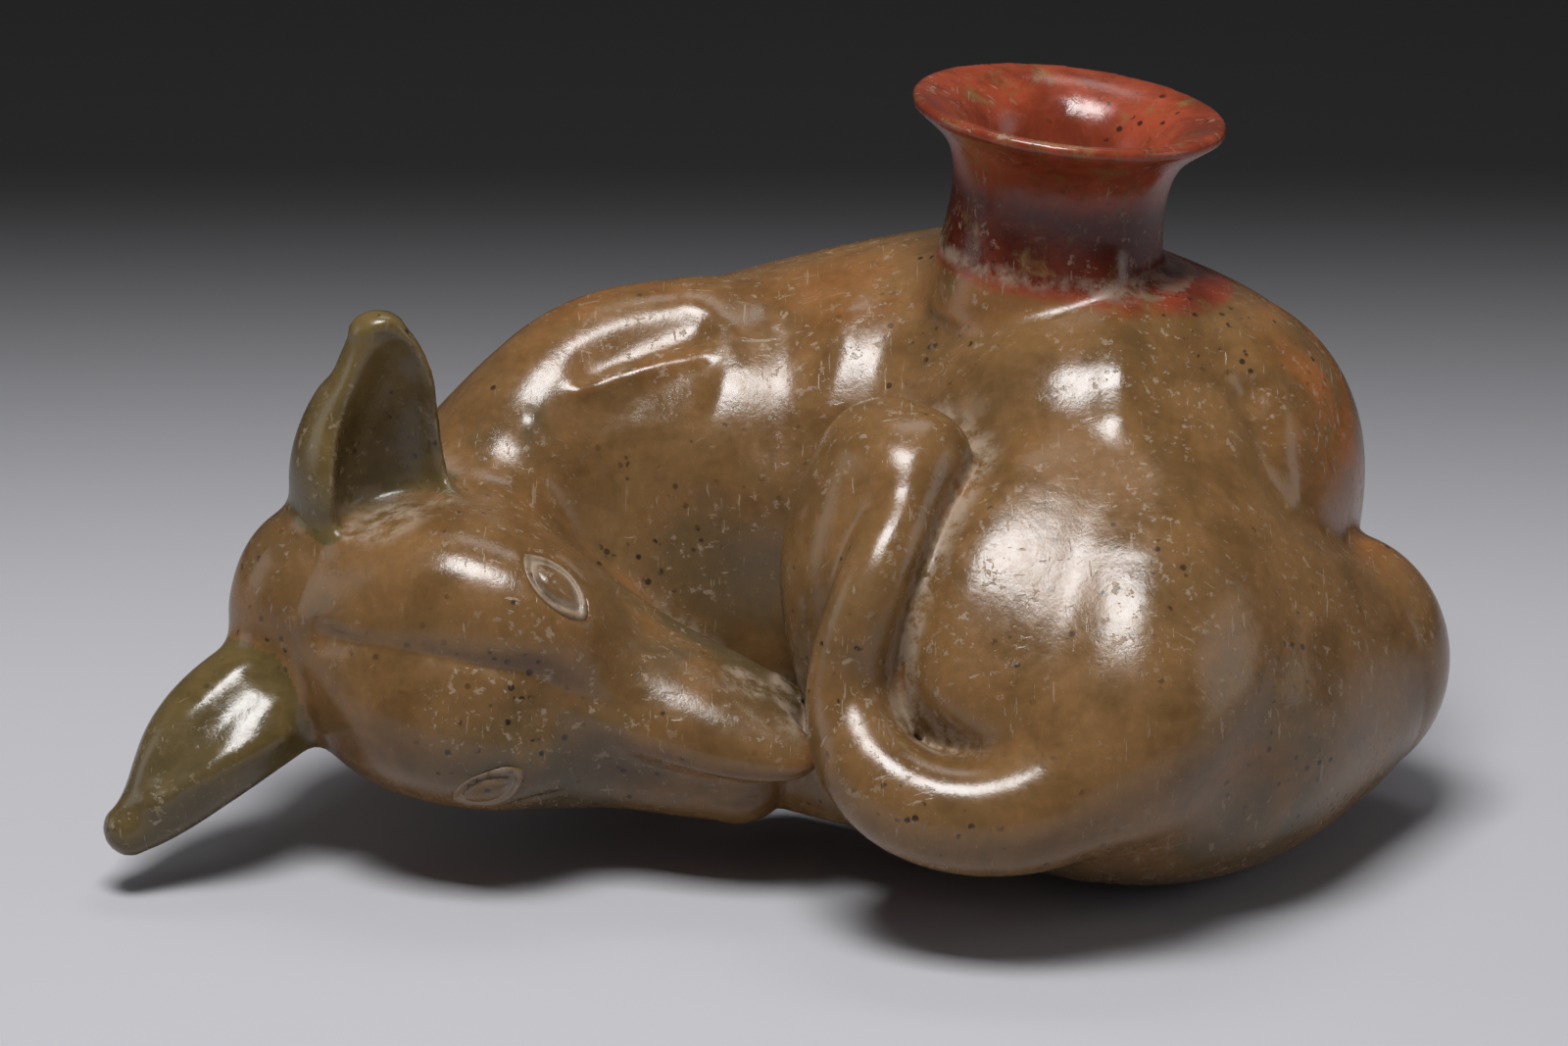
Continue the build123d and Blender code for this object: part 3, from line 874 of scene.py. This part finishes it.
def floor_material(color):
    """Pale paper, with painted shade darkening it towards the rear."""
    material = plain_material("Studio floor", color, 0.9)
    m = Maker(material.node_tree)
    place = m.node("ShaderNodeSeparateXYZ", {"Vector": m.node("ShaderNodeTexCoord").outputs["Object"]})
    # Painted shade: the floor colour falls to near black towards the rear, where the light fades off.
    share = m.band(place.outputs["Y"], *FLOOR_PAINTED_FALLOFF)
    painted_shade = (*(c * FLOOR_PAINTED_SHADE for c in color), 1)
    m.put(m.mix(share, (*color, 1), painted_shade), material.node_tree.nodes["Principled BSDF"].inputs["Base Color"])
    return material


MATERIALS = {}


def materials():
    """The clay materials by slot, made once."""
    if not MATERIALS:
        look = bpy.context.scene.vessel_look
        group = clay_group(look)
        MATERIALS["burnished_clay"] = clay_material("Burnished clay", group)
        dark_ear, pale_ear = (tuple(c * share for c in look.ear) for share in (0.7, 1.5))
        tones = {"Clay": look.ear, "Dark_Clay": dark_ear, "Blush_Clay": pale_ear}
        MATERIALS["ear_clay"] = clay_material("Ear clay", group, **tones)
        MATERIALS["eye_clay"] = clay_material("Eye clay", group, Blush_Clay=look.soil, Slip=look.soil)
        MATERIALS["spout_clay"] = clay_material("Slipped clay", group)
    return MATERIALS


# Settings, operators and panel

def tone(name, text, value):
    """A colour that a user would change."""
    return FloatVectorProperty(
        name=name, description=text, default=value, size=3, subtype="COLOR", min=0, max=1,
    )


class VesselLook(bpy.types.PropertyGroup):
    """Sizes and colours that a user would change."""

    detail: FloatProperty(
        name="Mesh step", description="Width of the clay mesh's faces", default=0.0012,
        min=0.0008, max=0.004, unit="LENGTH", subtype="DISTANCE",
    )
    clay: tone("Clay", "Burnished clay", (0.198, 0.104, 0.038))
    dark_clay: tone("Dark clay", "Darker patches of the clay", (0.135, 0.070, 0.024))
    blush: tone("Blush", "Where the fire reddened the clay", (0.36, 0.120, 0.032))
    smoke: tone("Smoke", "Where smoke greyed the clay", (0.085, 0.066, 0.036))
    soil: tone("Soil", "Pale soil in creases", (0.36, 0.27, 0.19))
    speck: tone("Specks", "Dark mineral specks", (0.008, 0.006, 0.006))
    slip: tone("Slip", "Red slip on the spout", (0.34, 0.062, 0.026))
    ear: tone("Ear clay", "Olive clay of the ears", (0.130, 0.088, 0.030))
    floor: tone("Floor", "Studio floor", (0.50, 0.50, 0.53))
    eye_level: FloatProperty(
        name="Camera height angle", description="Angle of the camera above the floor",
        default=math.radians(20), subtype="ANGLE",
    )
    camera_distance: FloatProperty(
        name="Camera distance", description="From the camera to the vessel", default=1.1,
        unit="LENGTH", subtype="DISTANCE",
    )
    lens: FloatProperty(name="Lens", description="Focal length in millimetres", default=117.855, min=20)


class VESSEL_OT_body(bpy.types.Operator):
    """Trunk, haunch, rump, neck, shoulder, leg and tail"""

    bl_idname = "vessel.body"
    bl_label = "Body pieces"

    def execute(self, context):
        step = context.scene.vessel_look.detail / MM
        for node in (
            "trunk_lower_half", "trunk_upper_half", "haunch", "rump", "neck", "shoulder_blade",
            "shin", "hock", "hind_foot", "tail",
        ):
            clay_piece(node, materials()["burnished_clay"], step)
        return {"FINISHED"}


class VESSEL_OT_head(bpy.types.Operator):
    """Head, ears and eyes"""

    bl_idname = "vessel.head"
    bl_label = "Head pieces"

    def execute(self, context):
        step = context.scene.vessel_look.detail / MM
        clay_piece("head", materials()["burnished_clay"], step)
        for node in ("left_ear", "right_ear"):
            clay_piece(node, materials()["ear_clay"], step)
        eye_piece("left_eye", 1, materials()["eye_clay"])
        eye_piece("right_eye", -1, materials()["eye_clay"])
        return {"FINISHED"}


class VESSEL_OT_spout(bpy.types.Operator):
    """Collar and flared rim of the spout"""

    bl_idname = "vessel.spout"
    bl_label = "Spout pieces"

    def execute(self, context):
        step = context.scene.vessel_look.detail / MM
        for node in ("spout_collar", "spout_rim"):
            clay_piece(node, materials()["spout_clay"], step)
        return {"FINISHED"}


def lamp(name, place, target, size, power):
    """A soft box that shines on target."""
    light = bpy.data.lights.new(name, "AREA")
    light.energy, light.shape = power, "RECTANGLE"
    light.size, light.size_y = size
    holder = bpy.data.objects.new(name, light)
    bpy.context.scene.collection.objects.link(holder)
    holder.location = place
    holder.rotation_euler = (Vector(target) - Vector(place)).to_track_quat("-Z", "Y").to_euler()
    return holder


class VESSEL_OT_stage(bpy.types.Operator):
    """Floor, soft boxes, background and camera"""

    bl_idname = "vessel.stage"
    bl_label = "Studio"

    def execute(self, context):
        look = context.scene.vessel_look
        scene = context.scene
        half = 4.0
        corners = [(-half, -half, 0), (half, -half, 0), (half, half, 0), (-half, half, 0)]
        mesh = bpy.data.meshes.new("floor")
        mesh.from_pydata(corners, [], [(0, 1, 2, 3)])
        mesh.materials.append(floor_material(look.floor))
        floor = bpy.data.objects.new("floor", mesh)
        scene.collection.objects.link(floor)
        aim = (0.0, -0.01, 0.06)
        key = lamp("key soft box", (-0.13, -0.38, 1.2), aim, (0.55, 0.4), 15)
        top = lamp("top soft box", (0.1, 0.45, 1.2), aim, (0.6, 0.3), 1.5)
        left = lamp("left fill", (-1.6, 0.1, 0.5), aim, (0.7, 0.9), 2)
        right = lamp("right fill", (1.5, -0.2, 0.5), aim, (0.6, 0.9), 2)
        world = bpy.data.worlds.new("studio")
        scene.world = world
        world.use_nodes = True
        background = world.node_tree.nodes["Background"]
        background.inputs["Color"].default_value = (0.10, 0.10, 0.11, 1)
        background.inputs["Strength"].default_value = 0.6
        scene.view_settings.view_transform = "Standard"
        camera = bpy.data.cameras.new("camera")
        camera.sensor_width, camera.lens = 36, look.lens
        holder = bpy.data.objects.new("camera", camera)
        scene.collection.objects.link(holder)
        target = Vector((0.0, 0.0, 0.068)) + Vector(HOME * MM)
        angle = look.eye_level
        holder.location = target + Vector((0, -math.cos(angle), math.sin(angle))) * look.camera_distance
        holder.rotation_euler = (target - holder.location).to_track_quat("-Z", "Y").to_euler()
        scene.camera = holder
        return {"FINISHED"}


class VESSEL_PT_panel(bpy.types.Panel):
    """Lists the vessel's pieces and settings"""

    bl_label = "Curled Dog Vessel"
    bl_idname = "VESSEL_PT_panel"
    bl_space_type = "VIEW_3D"
    bl_region_type = "UI"
    bl_category = "Vessel"

    def draw(self, context):
        for name in VesselLook.__annotations__:
            self.layout.prop(context.scene.vessel_look, name)
        for operator in (VESSEL_OT_body, VESSEL_OT_head, VESSEL_OT_spout, VESSEL_OT_stage):
            self.layout.operator(operator.bl_idname)


CLASSES = (VesselLook, VESSEL_OT_body, VESSEL_OT_head, VESSEL_OT_spout, VESSEL_OT_stage, VESSEL_PT_panel)


def register():
    for cls in CLASSES:
        bpy.utils.register_class(cls)
    bpy.types.Scene.vessel_look = PointerProperty(type=VesselLook)


def unregister():
    del bpy.types.Scene.vessel_look
    for cls in reversed(CLASSES):
        bpy.utils.unregister_class(cls)


def main():
    """Builds every piece and the studio."""
    register()
    for step in (bpy.ops.vessel.body, bpy.ops.vessel.head, bpy.ops.vessel.spout, bpy.ops.vessel.stage):
        step()


if __name__ == "__main__":
    main()
